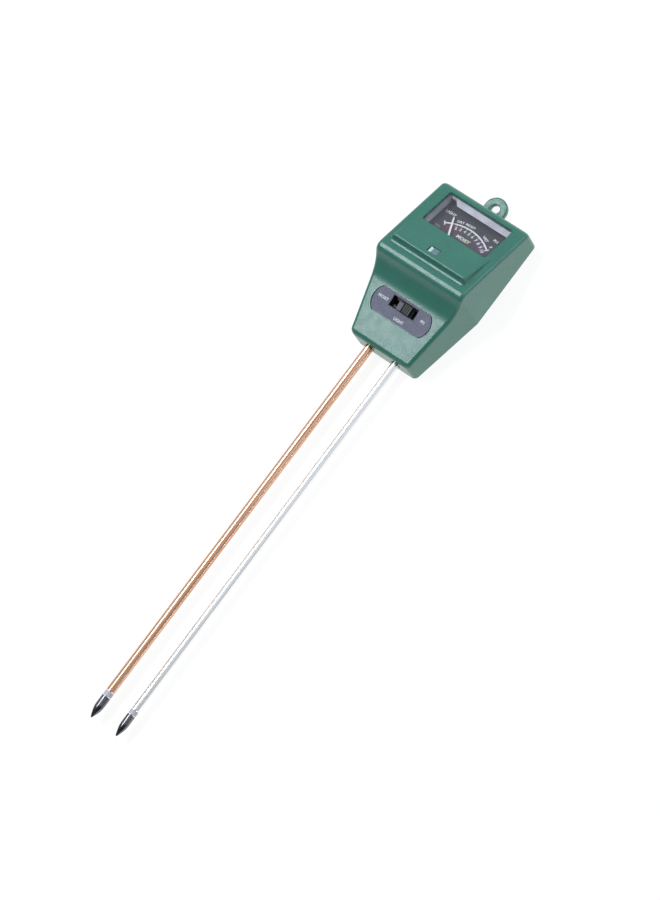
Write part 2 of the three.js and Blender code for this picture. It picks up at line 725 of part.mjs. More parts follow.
// The carriage stops short of the slot's upper edge, and its stem reaches down to the contact.
function switchSlider() {
  const low = slot.y - slot.height / 2 + 0.4;
  const high = slot.y + slot.height / 2 - 1.2;
  const carriage = box([sliderX - 4, low, switchTop + gap], [sliderX + 4, high, -0.7]);
  const stem = box([sliderX - 1.5, slot.y - 0.8, switchTop - 1], [sliderX + 1.5, slot.y + 0.8, -1]);
  return onPanel(join(carriage, stem));
}

// The ribbed thumb piece: sloped ends, with grooves across its top.
function switchKnob() {
  const [left, right, bottom, top] = [sliderX - 1.2, sliderX + 4, gap - 0.7, 1.5];
  const outline = polygon([
    [left, bottom], [right, bottom], [right - 0.3, top], [left + 1.4, top], [left, 0.4],
  ]);
  const halfHeight = slot.height / 2 - 0.5;
  const block = plate(outline, -halfHeight, halfHeight).rotateX(Math.PI / 2).translate(0, slot.y, 0);
  const grooves = [0, 1, 2].map((step) => {
    const x = left + 2.1 + 0.9 * step;
    return box([x - 0.15, slot.y - 4, top - 0.3], [x + 0.15, slot.y + 4, top + 1]);
  });
  return onPanel(cut(block, ...grooves));
}

function switchContact() {
  const strip = polygon([
    [-2.4, 0], [-1.4, -0.8], [1.4, -0.8], [2.4, 0], [2.2, 0.3], [1.3, -0.4], [-1.3, -0.4], [-2.2, 0.3],
  ]);
  const bent = plate(strip, -0.7, 0.7).rotateX(Math.PI / 2);
  return onPanel(bent.translate(sliderX, slot.y, switchTop - 1.7));
}

function circuitBoard() {
  const shape = roundedRectangle(-board.halfWidth, board.low, board.halfWidth, board.high, 1);
  bothSides.forEach((side) => shape.holes.push(circle(side * board.screwX, slot.y, screwHole)));
  return onPanel(plate(shape, -board.depth - board.thickness, -board.depth));
}

function boardScrew(side) {
  const headHeight = 1;
  const headZ = -board.depth - board.thickness - gap - headHeight;
  return onPanel(screw(1.6, headHeight, 0.7, 6, side * board.screwX, slot.y, headZ));
}

function resistor(y) {
  const outline = [
    [0, -6], [0.3, -6], [0.3, -3.4], [1.1, -3.1], [1.1, -2], [0.9, -1.8],
    [0.9, 1.8], [1.1, 2], [1.1, 3.1], [0.3, 3.4], [0.3, 6], [0, 6],
  ];
  const part = turned(outline, 10).rotateY(Math.PI / 2);
  const radius = 1.1;
  return onPanel(part.translate(0, y, gap + radius - board.depth));
}

// ---- Probes, along -Y ----
// Turned about Z first, then laid down so that Z becomes -Y.
function alongProbe(geometry, x) {
  return geometry.rotateX(Math.PI / 2).translate(x, 0, probe.z);
}

function probeTube(radius, x) {
  const end = probe.length - tip.length - tip.ring - 2 * gap;
  const bore = radius - probe.wall;
  const outline = [
    [bore, -probe.inside], [radius, -probe.inside], [radius, end], [bore, end], [bore, -probe.inside],
  ];
  return alongProbe(turned(outline, 24), x);
}

function insulatorRing(radius, x) {
  const low = probe.length - tip.length - tip.ring - gap;
  const high = low + tip.ring;
  const bore = 0.9;
  const outline = [[bore, low], [radius, low], [radius, high], [bore, high], [bore, low]];
  return alongProbe(turned(outline, 24), x);
}

// A cylinder that ends in a rounded point, with a blind hole for the rod behind it.
function probeTip(radius, x) {
  const base = probe.length - tip.length;
  const shoulder = probe.length - tip.point;
  const steps = 6;
  const noseRadius = 0.5;
  const blindHole = { radius: 0.75, end: base + 2.5 };
  const nose = [...Array(steps + 1).keys()].map((step) => {
    const share = step / steps;
    const taper = Math.cos((share * Math.PI) / 2);
    return [noseRadius + (radius - noseRadius) * taper, shoulder + (tip.point - noseRadius) * share];
  });
  const outline = [
    [0, blindHole.end], [blindHole.radius, blindHole.end], [blindHole.radius, base], [radius, base],
    ...nose, [0.6 * noseRadius, probe.length - 0.1], [0, probe.length],
  ];
  return alongProbe(turned(outline, 24), x);
}

function tipRod(x) {
  return alongProbe(rod(0.45, -probe.inside - 2, probe.length - tip.length + 2, 0, 0, 10), x);
}

// A flat soldering ring round the inner end of a probe, with a tab pointing to the front.
function solderLug(x) {
  const shape = new THREE.Shape();
  shape.moveTo(0.9, 4.6);
  shape.lineTo(-0.9, 4.6);
  shape.absarc(0, 0, 3.2, Math.PI / 2 + 0.3, 2.5 * Math.PI - 0.3, false);
  shape.holes.push(circle(0, 0, 2.4));
  const lugY = holder.high + 0.4;
  return plate(shape, 0, 0.6, 12).rotateX(Math.PI / 2).translate(x, lugY + 0.6, probe.z);
}

function probeHolder() {
  const block = box(
    [-holder.halfWidth, holder.low, holder.bottom],
    [holder.halfWidth, holder.high, holder.top],
  );
  const boreRadius = 2.35;
  const bores = bothSides.map((side) => {
    const bore = new THREE.CylinderGeometry(boreRadius, boreRadius, 30, 28);
    return bore.translate(side * probe.x, 0, probe.z);
  });
  const holes = bothSides.map((side) => {
    return rod(screwHole, holder.bottom - past, holder.top + past, side * holder.screwX, holder.screwY);
  });
  const relief = box(
    [-3.4, holder.low - past, holder.bottom - past],
    [3.4, holder.high + past, probe.z],
  );
  return cut(block, ...bores, ...holes, relief);
}

function holderScrew(side) {
  const headHeight = 1.1;
  const headZ = holder.bottom - gap - headHeight;
  return screw(1.9, headHeight, 0.8, 9.5, side * holder.screwX, holder.screwY, headZ);
}

// ---- Leads ----
function lead(points) {
  const sides = 8;
  const radius = 0.4;
  const corners = [...Array(sides).keys()].map((step) => {
    const angle = (step / sides) * 2 * Math.PI;
    return [radius * Math.cos(angle), radius * Math.sin(angle)];
  });
  const path = new THREE.CatmullRomCurve3(points);
  return new THREE.ExtrudeGeometry(polygon(corners), { steps: 10, extrudePath: path });
}

function probeLead(side) {
  const point = (x, y, z) => new THREE.Vector3(side * x, y, z);
  return lead([
    point(probe.x, 11.6, 10.2), point(7.6, 13.4, 9.2), point(8.2, 15.6, 7), point(8.4, 19, 6.6),
    point(8.2, 21.5, 8.6),
  ]);
}

function meterLead(side) {
  return lead([
    panelPoint(side * 8.5, 28.6, -7.9), panelPoint(side * 10, 31.5, -7.4),
    facePoint(side * 12.6, 6, -15), facePoint(side * 12.4, 12, -13.5), facePoint(side * 11, 17, -13),
  ]);
}

function cellLead(side) {
  return lead([
    facePoint(sensor.x + side * 2.6, sensor.y, -3.2), facePoint(side * 3.4, 6, -3.2),
    facePoint(side * 3.6, 3.4, -5.4), panelPoint(side * 4, 31.4, -3.8), panelPoint(side * 4, 28.9, -7.8),
  ]);
}

// ---- The assembly ----
const group = new THREE.Group();
group.position.y = -head.length / 2;

function add(name, geometry, material) {
  const mesh = new THREE.Mesh(geometry, material);
  mesh.name = name;
  group.add(mesh);
}

add('front_shell', frontShell(), green);
add('hanging_ring', hangingRing(), green);
add('back_cover', backCover(), green);
coverScrews.forEach(([x, y], index) => {
  add(`cover_screw_${index + 1}`, screw(1.5, 1, 0.75, 8, x, y, 0.25), steel);
});
add('window_lens', windowLens(), clear);
add('sensor_lens', sensorLens(), clear);
add('photocell', photocell(), white);

add('dial_plate', dialPlate(), dialBlack);
dialScrews.forEach((place, index) => add(`dial_screw_${index + 1}`, dialScrew(place), steel));
add('stop_pin_low', stopPin(needle.limits[0]), brass);
add('stop_pin_high', stopPin(needle.limits[1]), brass);

add('movement_frame', movementFrame(), black);
bothSides.forEach((side, index) => add(`movement_screw_${index + 1}`, movementScrew(side), steel));
add('magnet', magnet(), darkSteel);
add('yoke_left', yokeHalf(-1), steel);
add('yoke_right', yokeHalf(1), steel);
add('front_bridge', bridge(frontBridge, gap + movement.top), brass);
add('rear_bridge', bridge(rearBridge, movement.bottom - gap), brass);
add('front_jewel', jewel(frontBridge), steel);
add('rear_jewel', jewel(rearBridge), steel);
add('front_hairspring', hairspring(-7.1), brass);
add('rear_hairspring', hairspring(-19.2), brass);

add('moving_coil', movingCoil(), copper);
add('front_pivot', pivot(movement.coilTop + gap, frontBridge.pivotPoint), steel);
add('rear_pivot', pivot(movement.coilBottom - gap, rearBridge.pivotPoint), steel);
add('needle', needlePiece(), white);
add('balance_weight', balanceWeight(), brass);

add('switch_label', switchLabel(), labelGrey);
add('switch_body', switchBody(), black);
add('switch_slider', switchSlider(), labelGrey);
add('switch_knob', switchKnob(), knobBrown);
add('switch_contact', switchContact(), copper);
add('circuit_board', circuitBoard(), boardTan);
add('board_screw_1', boardScrew(-1), steel);
add('board_screw_2', boardScrew(1), steel);
add('resistor', resistor(27.2), boardTan);

add('probe_holder', probeHolder(), white);
add('holder_screw_1', holderScrew(-1), steel);
add('holder_screw_2', holderScrew(1), steel);
const probes = [
  { metal: 'copper', x: -probe.x, radius: 2.1, material: copper },
  { metal: 'aluminium', x: probe.x, radius: 1.9, material: aluminium },
];
probes.forEach(({ metal, x, radius, material }) => {
  add(`${metal}_probe`, probeTube(radius, x), material);
  add(`${metal}_insulator`, insulatorRing(radius, x), ringGrey);
  add(`${metal}_tip`, probeTip(radius, x), darkSteel);
  add(`${metal}_tip_rod`, tipRod(x), steel);
  add(`${metal}_lug`, solderLug(x), brass);
  add(`${metal}_lead`, probeLead(Math.sign(x)), finish(wireColours[x < 0 ? 'red' : 'black'], 0.5));
});
bothSides.forEach((side, index) => {
  add(`meter_lead_${index + 1}`, meterLead(side), finish(wireColours.yellow, 0.5));
  add(`cell_lead_${index + 1}`, cellLead(side), finish(wireColours.blue, 0.5));
});

export default group;
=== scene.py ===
import json
import math

import bpy
from mathutils import Matrix, Vector


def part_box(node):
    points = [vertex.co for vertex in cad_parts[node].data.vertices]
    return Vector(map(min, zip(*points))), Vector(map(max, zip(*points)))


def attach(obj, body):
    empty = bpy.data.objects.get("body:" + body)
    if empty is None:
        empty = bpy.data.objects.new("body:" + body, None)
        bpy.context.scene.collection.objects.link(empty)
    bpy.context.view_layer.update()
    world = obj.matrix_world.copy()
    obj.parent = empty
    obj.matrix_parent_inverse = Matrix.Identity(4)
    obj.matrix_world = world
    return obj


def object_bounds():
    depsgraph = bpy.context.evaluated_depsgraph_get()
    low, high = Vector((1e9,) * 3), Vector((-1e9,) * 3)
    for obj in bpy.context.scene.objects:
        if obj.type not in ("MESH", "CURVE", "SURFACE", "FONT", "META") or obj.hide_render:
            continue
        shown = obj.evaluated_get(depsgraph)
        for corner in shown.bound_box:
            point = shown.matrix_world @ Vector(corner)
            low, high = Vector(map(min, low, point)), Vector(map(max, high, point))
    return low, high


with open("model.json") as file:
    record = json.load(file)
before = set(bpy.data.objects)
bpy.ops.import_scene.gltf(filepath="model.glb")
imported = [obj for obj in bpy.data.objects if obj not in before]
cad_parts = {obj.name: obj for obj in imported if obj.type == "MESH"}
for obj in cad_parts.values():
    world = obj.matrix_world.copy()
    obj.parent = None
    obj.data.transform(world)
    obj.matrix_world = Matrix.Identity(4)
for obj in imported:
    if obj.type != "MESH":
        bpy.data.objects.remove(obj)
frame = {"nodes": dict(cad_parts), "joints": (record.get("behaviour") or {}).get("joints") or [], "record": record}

cad_low, cad_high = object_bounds()
nodes = frame["nodes"]
slot_of = {row["node"]: row["material_slot"] for row in frame["record"]["subparts"]}

MM = 0.001


# ---- The two sloping planes that carry printing ----
def biggest_face(name):
    """The largest triangle of a node that looks up: its normal and a point on it."""
    looks_up = 0.5  # the least upward part of a normal that counts
    faces = [face for face in nodes[name].data.polygons if face.normal.z > looks_up]
    largest = max(faces, key=lambda face: face.area)
    return largest.normal.copy(), largest.center.copy()


def sloping_plane(name, origin):
    """A matrix in millimetres: X across, Y up the slope, Z out of the node's front face."""
    normal, on_face = biggest_face(name)
    across = Vector((1, 0, 0))
    normal = Vector((0, normal.y, normal.z)).normalized()
    up = normal.cross(across)
    start = Vector(origin)
    start -= normal * (start - on_face).dot(normal)
    turn = Matrix((across, up, normal)).transposed().to_4x4()
    return Matrix.Translation(start) @ turn @ Matrix.Scale(MM, 4)


pivot = Vector(next(joint["pos_m"] for joint in frame["joints"] if joint["type"] == "hinge"))
dial_plane = sloping_plane("dial_plate", pivot)  # its origin is the needle's axis
label_low, label_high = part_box("switch_label")
label_plane = sloping_plane("switch_label", (label_low + label_high) / 2)


# ---- Shader helpers ----
class Shader:
    """A material's node tree, with short ways to add what the materials below share."""

    def __init__(self, name, **sockets):
        self.material = bpy.data.materials.new(name)
        self.material.use_nodes = True
        self.tree = self.material.node_tree
        self.surface = self.tree.nodes["Principled BSDF"]
        self.place = self.node("ShaderNodeTexCoord").outputs["Object"]
        for socket, value in sockets.items():
            self.surface.inputs[socket.replace("_", " ")].default_value = value

    def node(self, kind, inputs=None, **settings):
        made = self.tree.nodes.new(kind)
        for key, value in settings.items():
            setattr(made, key, value)
        for key, value in (inputs or {}).items():
            if isinstance(value, bpy.types.NodeSocket):
                self.tree.links.new(value, made.inputs[key])
            else:
                made.inputs[key].default_value = value
        return made

    def noise(self, size_mm, detail=2, stretch=(1, 1, 1)):
        """Noise with blotches of about the size given, drawn out along an axis by a small stretch."""
        placed = self.node("ShaderNodeMapping", {"Vector": self.place, "Scale": stretch})
        scale = 1 / (size_mm * MM)
        texture = self.node(
            "ShaderNodeTexNoise",
            {"Vector": placed.outputs["Vector"], "Scale": scale, "Detail": detail},
        )
        return texture.outputs["Fac"]

    def spread(self, value, low, high, start=0.3, end=0.7):
        """Turns a value between start and end into a number from low to high."""
        inputs = {"Value": value, "From Min": start, "From Max": end, "To Min": low, "To Max": high}
        return self.node("ShaderNodeMapRange", inputs).outputs["Result"]

    def mix(self, share, first, second):
        """Blends two colours.  The node's colour sockets share their names, so they go by number."""
        inputs = {"Factor": share, 6: first, 7: second}
        return self.node("ShaderNodeMix", inputs, data_type="RGBA").outputs[2]

    def set(self, socket, value):
        """Feeds one of the surface's own sockets."""
        self.tree.links.new(value, self.surface.inputs[socket])

    def bump(self, height, depth_mm):
        """Tilts the surface as if a height of 1 stood out by the depth."""
        inputs = {"Height": height, "Distance": depth_mm * MM, "Strength": 1}
        self.set("Normal", self.node("ShaderNodeBump", inputs).outputs["Normal"])


def color(red, green, blue):
    return (red, green, blue, 1)


def tinted(base, factor):
    """The colour made darker or lighter by a factor, with no channel over 1."""
    return color(*(min(1, channel * factor) for channel in base[:3]))


# ---- Materials ----
def moulded(name, base, roughness, grain_mm=0.35, depth_mm=0.012, variation=0.08, **sockets):
    """Injection-moulded plastic: a fine spark-eroded grain, faint cloudiness and uneven gloss."""
    shader = Shader(name, **sockets)
    cloud = shader.spread(shader.noise(size_mm=14), 0, 1)
    darker, lighter = tinted(base, 1 - variation), tinted(base, 1 + variation)
    shader.set("Base Color", shader.mix(cloud, darker, lighter))
    handled = shader.noise(size_mm=3, detail=5)
    glossier, duller = roughness - 0.025, roughness + 0.025
    shader.set("Roughness", shader.spread(handled, glossier, duller))
    shader.bump(shader.noise(size_mm=grain_mm, detail=3), depth_mm=depth_mm)
    return shader.material


def drawn_metal(name, base, dark, roughness):
    """Drawn tube: long streaks along its length in its colour and its gloss."""
    shader = Shader(name, Metallic=1)
    streaks = shader.noise(size_mm=0.5, detail=2, stretch=(1, 0.004, 1))
    broad = shader.noise(size_mm=2.4, detail=1, stretch=(1, 0.03, 1))
    worn = shader.mix(shader.spread(broad, 0, 0.5), base, dark)
    streak_share = shader.spread(streaks, 0, 1, start=0.45, end=0.7)
    shader.set("Base Color", shader.mix(streak_share, worn, dark))
    glossier, duller = roughness - 0.04, roughness + 0.06
    shader.set("Roughness", shader.spread(streaks, glossier, duller))
    shader.bump(streaks, depth_mm=0.001)
    return shader.material


def plain_metal(name, base, roughness, grain_mm=0.25, depth_mm=0.004):
    """Small turned or stamped metal pieces: fine tool marks and uneven plating."""
    shader = Shader(name, Metallic=1)
    cloud = shader.spread(shader.noise(size_mm=2.5, detail=3), 0, 1)
    darker, lighter = tinted(base, 0.88), tinted(base, 1.06)
    shader.set("Base Color", shader.mix(cloud, darker, lighter))
    marks = shader.noise(size_mm=grain_mm, detail=3, stretch=(1, 1, 0.2))
    glossier, duller = roughness - 0.05, roughness + 0.08
    shader.set("Roughness", shader.spread(marks, glossier, duller))
    shader.bump(marks, depth_mm=depth_mm)
    return shader.material


def clear_pane():
    """The window's flat pane: clear, a little hazy, with faint wiping marks."""
    shader = Shader("clear_plastic", Alpha=0.05, IOR=1.49)
    haze = shader.spread(shader.noise(size_mm=9, detail=3), 0, 1)
    shader.set("Base Color", shader.mix(haze, color(0.62, 0.63, 0.72), color(0.74, 0.76, 0.84)))
    shader.set("Roughness", shader.spread(shader.noise(size_mm=4, detail=4), 0.06, 0.13))
    shader.bump(shader.noise(size_mm=7), depth_mm=0.01)
    return shader.material


def frosted_wall():
    """The window's inner walls and wedge: satin and lavender grey, their pale colour a painted reflection of the
    bright room in the clear walls.
    """
    shader = Shader("frosted_plastic", Alpha=0.85, IOR=1.49)
    cloud = shader.spread(shader.noise(size_mm=6, detail=3), 0, 1)
    # The pale greys are a painted reflection, standing in for the light the walls catch.
    shader.set("Base Color", shader.mix(cloud, color(0.52, 0.51, 0.6), color(0.76, 0.75, 0.82)))
    shader.set("Roughness", shader.spread(shader.noise(size_mm=1.5, detail=3), 0.3, 0.42))
    shader.bump(shader.noise(size_mm=0.5), depth_mm=0.01)
    return shader.material


def sensor_pane():
    """The sensor's small window: smoky and bluish over the pale light cell."""
    shader = Shader("sensor_plastic", Alpha=0.8, IOR=1.5)
    cloud = shader.spread(shader.noise(size_mm=1.2, detail=3), 0, 1)
    shader.set("Base Color", shader.mix(cloud, color(0.17, 0.27, 0.3), color(0.26, 0.38, 0.41)))
    shader.set("Roughness", shader.spread(shader.noise(size_mm=0.8, detail=2), 0.08, 0.2))
    shader.bump(shader.noise(size_mm=0.4), depth_mm=0.006)
    return shader.material


def polished_edge():
    """The sensor window's bright facet: a painted highlight in pale colour, glossy, slightly scuffed."""
    shader = Shader("polished_edge", IOR=1.5)
    scuffs = shader.spread(shader.noise(size_mm=0.6, detail=3), 0, 1)
    # The pale colours are a painted highlight on the facet.
    shader.set("Base Color", shader.mix(scuffs, color(0.6, 0.75, 0.76), color(0.8, 0.92, 0.93)))
    shader.set("Roughness", shader.spread(shader.noise(size_mm=0.5), 0.15, 0.3))
    shader.bump(shader.noise(size_mm=0.3), depth_mm=0.004)
    return shader.material


def printed_film():
    """The grey label: lavender grey with a fine mottle in its ink."""
    shader = Shader("label_film")
    mottle = shader.spread(shader.noise(size_mm=0.55, detail=5), 0, 1)
    shader.set("Base Color", shader.mix(mottle, color(0.105, 0.11, 0.16), color(0.2, 0.205, 0.28)))
    shader.set("Roughness", shader.spread(shader.noise(size_mm=3, detail=3), 0.5, 0.62))
    shader.bump(shader.noise(size_mm=0.25), depth_mm=0.006)
    return shader.material


def printing_ink(name, base):
    """Screen ink: slightly uneven, with pinholes in its surface."""
    shader = Shader(name)
    cover = shader.spread(shader.noise(size_mm=0.5, detail=4), 0, 1)
    shader.set("Base Color", shader.mix(cover, tinted(base, 0.84), base))
    shader.set("Roughness", shader.spread(shader.noise(size_mm=0.8), 0.45, 0.6))
    shader.bump(shader.noise(size_mm=0.2), depth_mm=0.004)
    return shader.material


def title_ink():
    """The dial's title: white at its left end, turning yellow green towards its right end."""
    shader = Shader("title_ink", Roughness=0.5)
    across = shader.node("ShaderNodeSeparateXYZ", {"Vector": shader.place}).outputs["X"]
    half_width = 3 * MM
    share = shader.spread(across, 0, 1, start=-half_width, end=half_width)
    white, tinged = color(0.9, 0.89, 0.9), color(0.72, 0.74, 0.5)
    ink = shader.mix(share, white, tinged)
    pinholes = shader.spread(shader.noise(size_mm=0.5, detail=4), 0, 0.25)
    shader.set("Base Color", shader.mix(pinholes, ink, color(0.4, 0.4, 0.35)))
    shader.bump(shader.noise(size_mm=0.2), depth_mm=0.004)
    return shader.material


def laminate():
    """Resin-bonded board: a woven look and a brown mottle."""
    shader = Shader("board_laminate")
    fibres = shader.noise(size_mm=0.6, detail=4, stretch=(0.2, 1, 1))
    shader.set("Base Color", shader.mix(fibres, color(0.2, 0.11, 0.035), color(0.4, 0.26, 0.1)))
    shader.set("Roughness", shader.spread(fibres, 0.45, 0.65))
    shader.bump(fibres, depth_mm=0.01)
    return shader.material


WHITE = color(1, 1, 1)
DAYLIGHT = color(0.89, 0.94, 1)
GREEN = color(0.047, 0.2, 0.148)
COPPER = color(0.93, 0.6, 0.42)
SILVER = color(0.97, 0.96, 0.93)

# The keys are the material slots of the record.
materials = {
    "green_plastic": moulded("green_plastic", GREEN, 0.27, depth_mm=0.008, variation=0.06),
    "clear_plastic": clear_pane(),
    "label_film": printed_film(),
    "black_plastic": moulded("black_plastic", color(0.009, 0.009, 0.01), 0.5),
    "dial_paint": moulded(
        "dial_paint", color(0.042, 0.036, 0.047), 0.55, grain_mm=0.3, depth_mm=0.006, variation=0.2
    ),
    "white_plastic": moulded("white_plastic", color(0.9, 0.89, 0.91), 0.45, depth_mm=0.004),
    "knob_plastic": moulded(
        "knob_plastic", color(0.016, 0.013, 0.011), 0.45, grain_mm=0.25, depth_mm=0.012, variation=0.2
    ),
    "board_laminate": laminate(),
    "ceramic_cell": moulded(
        "ceramic_cell", color(0.7, 0.62, 0.42), 0.5, grain_mm=0.3, depth_mm=0.01
    ),
    "resistor_body": moulded(
        "resistor_body", color(0.5, 0.33, 0.15), 0.4, grain_mm=0.3, depth_mm=0.01
    ),
    "steel": plain_metal("steel", color(0.56, 0.57, 0.58), 0.28),
    "magnet_alloy": plain_metal(
        "magnet_alloy", color(0.12, 0.12, 0.13), 0.4, grain_mm=0.4, depth_mm=0.01
    ),
    "dark_chrome": plain_metal("dark_chrome", color(0.2, 0.2, 0.21), 0.24, depth_mm=0.002),
    "copper": drawn_metal("copper", COPPER, color(0.5, 0.24, 0.14), 0.2),
    "coil_wire": plain_metal(
        "coil_wire", color(0.6, 0.22, 0.1), 0.35, grain_mm=0.2, depth_mm=0.02
    ),
    "aluminium": drawn_metal("aluminium", SILVER, color(0.8, 0.8, 0.82), 0.2),
    "brass": plain_metal("brass", color(0.68, 0.47, 0.17), 0.3),
    "ring_plastic": moulded(
        "ring_plastic", color(0.56, 0.55, 0.6), 0.4, grain_mm=0.3, depth_mm=0.008
    ),
    "lead_red": moulded("lead_red", color(0.42, 0.03, 0.02), 0.45),
    "lead_black": moulded("lead_black", color(0.012, 0.012, 0.014), 0.45),
    "lead_yellow": moulded("lead_yellow", color(0.65, 0.45, 0.05), 0.45),
    "lead_blue": moulded("lead_blue", color(0.03, 0.1, 0.4), 0.45),
}


# ---- Surface shading of the CAD nodes ----
def smoothing(limit_degrees):
    """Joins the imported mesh's split corners and smooths every edge flatter than the limit."""
    group = bpy.data.node_groups.new("smooth_rounds", "GeometryNodeTree")
    group.interface.new_socket("Geometry", in_out="INPUT", socket_type="NodeSocketGeometry")
    group.interface.new_socket("Geometry", in_out="OUTPUT", socket_type="NodeSocketGeometry")
    add = group.nodes.new
    start, end = add("NodeGroupInput"), add("NodeGroupOutput")
    merge = add("GeometryNodeMergeByDistance")
    same_place = 0.0005 * MM
    merge.inputs["Distance"].default_value = same_place
    faces = add("GeometryNodeSetShadeSmooth")
    edges = add("GeometryNodeSetShadeSmooth")
    edges.domain = "EDGE"
    edges.inputs["Shade Smooth"].default_value = False
    angle = add("GeometryNodeInputMeshEdgeAngle")
    sharp = add("FunctionNodeCompare")
    sharp.operation = "GREATER_THAN"
    sharp.inputs[1].default_value = math.radians(limit_degrees)
    link = group.links.new
    link(start.outputs[0], merge.inputs["Geometry"])
    link(merge.outputs["Geometry"], faces.inputs["Geometry"])
    link(faces.outputs["Geometry"], edges.inputs["Geometry"])
    link(angle.outputs["Unsigned Angle"], sharp.inputs[0])
    link(sharp.outputs["Result"], edges.inputs["Selection"])
    link(edges.outputs["Geometry"], end.inputs[0])
    return group


smooth_rounds = smoothing(limit_degrees=32)


def dress(node):
    """Gives a CAD node its slot's material and smooth rounds.  Its own vertices stay as they are."""
    mesh = node.data
    if "custom_normal" in mesh.attributes:
        mesh.attributes.remove(mesh.attributes["custom_normal"])
    mesh.materials.clear()
    mesh.materials.append(materials[slot_of[node.name]])
    node.modifiers.new("rounds", "NODES").node_group = smooth_rounds
    weighted = node.modifiers.new("flats", "WEIGHTED_NORMAL")
    weighted.keep_sharp = True


for node in nodes.values():
    dress(node)


def frost_window():
    """The window's walls and wedge lie deeper than its pane, and are satin with a pale painted reflection instead
    of clear.
    """
    lens = nodes["window_lens"]
    lens.data.materials.append(frosted_wall())
    normal = dial_plane.to_3x3() @ Vector((0, 0, 1))
    normal.normalize()
    heights = [normal.dot(face.center) for face in lens.data.polygons]
    pane_thickness = 1.25 * MM
    walls_top = max(heights) - pane_thickness
    for face, height in zip(lens.data.polygons, heights):
        face.material_index = 1 if height < walls_top else 0


frost_window()


def shine_sensor():
    """The facet at the sensor window's left end is glossy and pale, a painted highlight; the rest of it smoky."""
    mesh = nodes["sensor_lens"].data
    mesh.materials[0] = sensor_pane()
    mesh.materials.append(polished_edge())
    least_lean, most_lean = 0.3, 0.9  # along X, for the facet's normal
    for face in mesh.polygons:
        face.material_index = 1 if least_lean < face.normal.x < most_lean else 0


shine_sensor()


# ---- Printing and the slot's lining ----
INK = 0.02  # the ink's thickness in millimetres, and its least height off the plate


class Print:
    """Flat ink shapes on one sloping plane, collected into a single mesh."""

    def __init__(self, name, plane, material, slot, lift=INK):
        self.name, self.plane, self.material, self.slot = name, plane, material, slot
        self.lift = lift
        self.vertices, self.faces = [], []

    def shape(self, points, faces):
        first = len(self.vertices)
        self.vertices += [Vector(point) for point in points]
        self.faces += [[first + index for index in face] for face in faces]

    def slab(self, outline, bottom=None, top=None):
        """A closed flat shape, as thick as the ink unless told.  Its corners go anticlockwise."""
        count = len(outline)
        bottom = self.lift if bottom is None else bottom
        top = self.lift + INK if top is None else top
        lower = [(x, y, bottom) for x, y in outline]
        upper = [(x, y, top) for x, y in outline]
        sides = [
            [index, (index + 1) % count, count + (index + 1) % count, count + index]
            for index in range(count)
        ]
        self.shape(lower + upper, [list(range(count))[::-1], list(range(count, 2 * count)), *sides])

    def arc(self, inner, outer, start, end, pieces=40):
        """A band round the plane's origin, between two angles clockwise from straight up."""
        angles = [math.radians(start + (end - start) * step / pieces) for step in range(pieces + 1)]
        for left, right in zip(angles, angles[1:]):
            corners = [(inner, left), (inner, right), (outer, right), (outer, left)]
            self.slab([(radius * math.sin(turn), radius * math.cos(turn)) for radius, turn in corners])

    def tick(self, inner, outer, angle, width):
        """A straight mark pointing at the plane's origin."""
        turn = math.radians(angle)
        out = Vector((math.sin(turn), math.cos(turn)))
        side = Vector((out.y, -out.x)) * width / 2
        corners = [out * inner - side, out * inner + side, out * outer + side, out * outer - side]
        self.slab([(corner.x, corner.y) for corner in corners])

    def text(self, words, height, x, y, angle=0, weight=0.0, stretch=1.0):
        """Lettering centred on a point.  The angle is clockwise, and the weight fattens the strokes."""
        curve = bpy.data.curves.new("lettering", "FONT")
        curve.body = words
        curve.align_x, curve.align_y = "CENTER", "CENTER"
        cap_height = 0.7  # of the built-in font's size
        curve.size = height / cap_height
        curve.offset = weight
        curve.extrude = INK / 2
        curve.resolution_u = 3  # enough for strokes this small
        letters = bpy.data.objects.new("lettering", curve)
        bpy.context.scene.collection.objects.link(letters)
        bpy.context.view_layer.update()
        mesh = bpy.data.meshes.new_from_object(letters)
        turn = Matrix.Rotation(-math.radians(angle), 4, "Z") @ Matrix.Diagonal((stretch, 1, 1, 1))
        mesh.transform(Matrix.Translation((x, y, self.lift + INK / 2)) @ turn)
        self.shape([v.co for v in mesh.vertices], [list(face.vertices) for face in mesh.polygons])
        bpy.data.objects.remove(letters)
        bpy.data.meshes.remove(mesh)

    def finish(self):
        mesh = bpy.data.meshes.new(self.name)
        points = [self.plane @ vertex for vertex in self.vertices]
        mesh.from_pydata(points, [], self.faces)
        mesh.validate()
        mesh.materials.append(self.material)
        made = bpy.data.objects.new(self.name, mesh)
        bpy.context.scene.collection.objects.link(made)
        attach(made, "head")


def around(radius, angle):
    """A point at a radius from the plane's origin, at an angle clockwise from straight up."""
    turn = math.radians(angle)
    return radius * math.sin(turn), radius * math.cos(turn)


